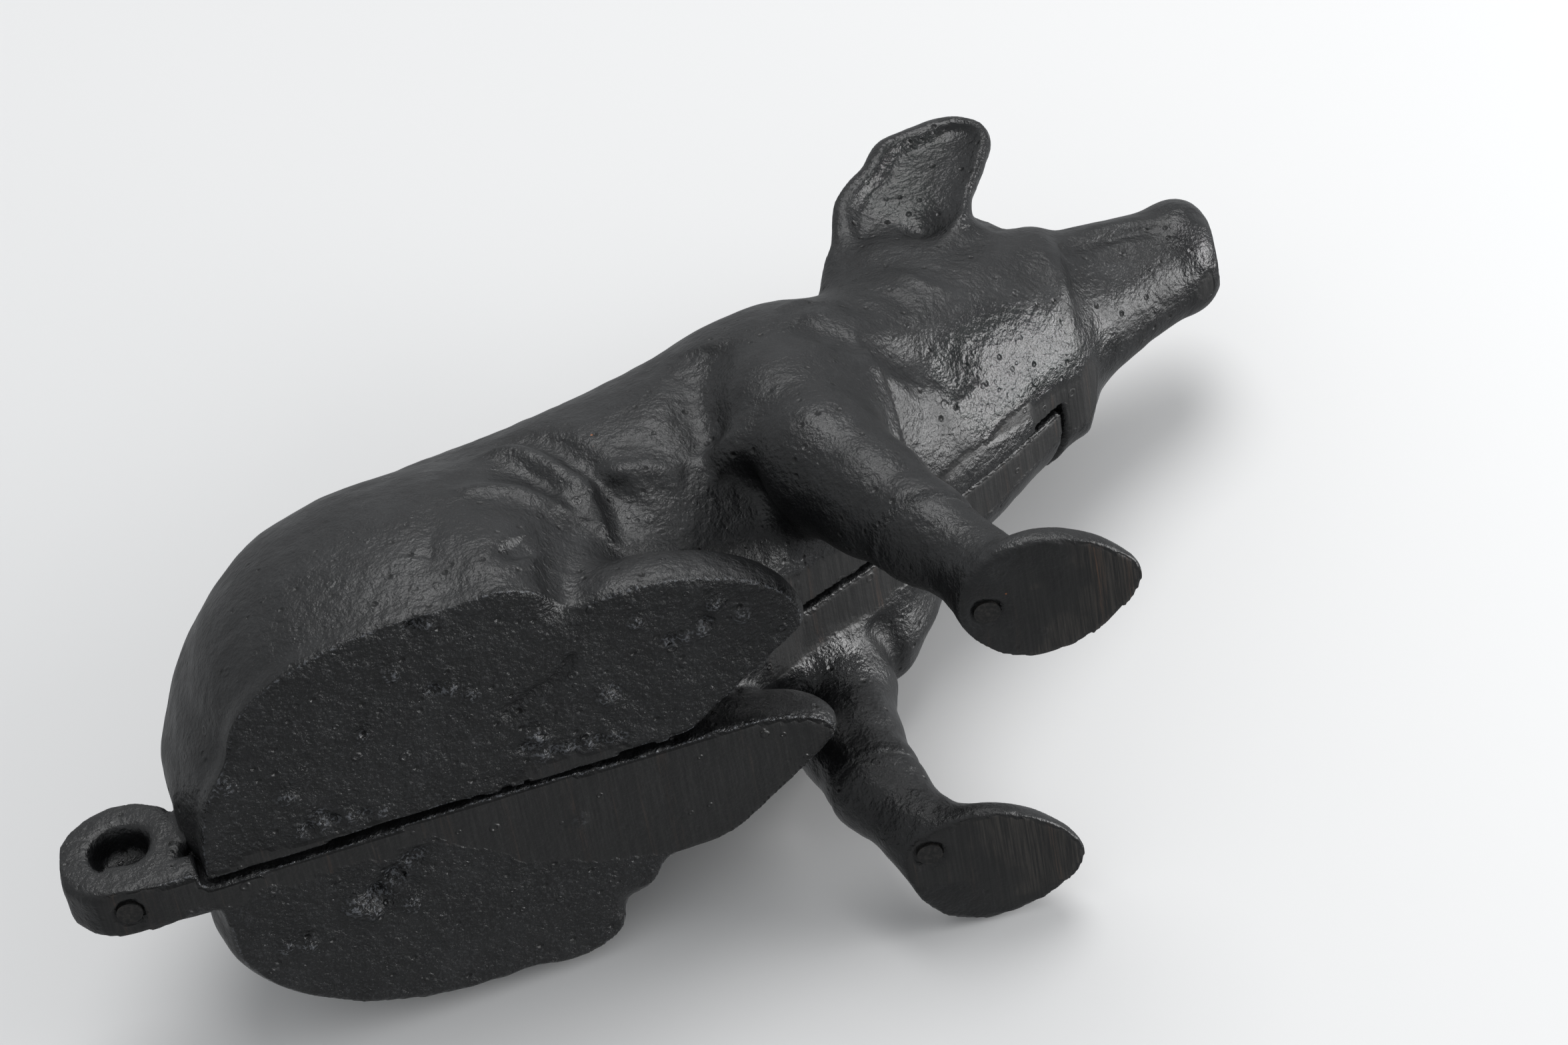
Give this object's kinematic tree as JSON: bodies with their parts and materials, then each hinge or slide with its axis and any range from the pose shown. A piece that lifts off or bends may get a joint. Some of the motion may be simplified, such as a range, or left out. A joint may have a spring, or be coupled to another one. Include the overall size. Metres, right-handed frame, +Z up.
{
  "type": "seated pig figure",
  "caption": "Hollow cast-iron figure of a seated pig in halves joined on the median plane, standing on flat soles and a rolled tail; a doorstop or counter ornament.",
  "frame": {"origin": "middle of the bounding box at the table the figure stands on", "axes": "+X towards the snout along the table, +Y to the pig's left, +Z up with the figure standing on its two front soles and its tail"},
  "size_m": [0.2558, 0.103, 0.1653],
  "materials": {
    "black_enamel": "satin black enamel over rough sand-cast iron, ground bright-edged flats on the seat seam and soles",
    "screw_steel": "blackened steel, painted over with the casting",
    "plug_iron": "iron ground flush and painted over"
  },
  "bodies": {
    "root": {"right_casting": "black_enamel", "left_casting": "black_enamel", "front_tie_screw": "screw_steel", "rear_tie_screw": "screw_steel", "right_hoof_plug": "plug_iron", "left_hoof_plug": "plug_iron", "tail_plug": "plug_iron"}
  },
  "joints": []
}
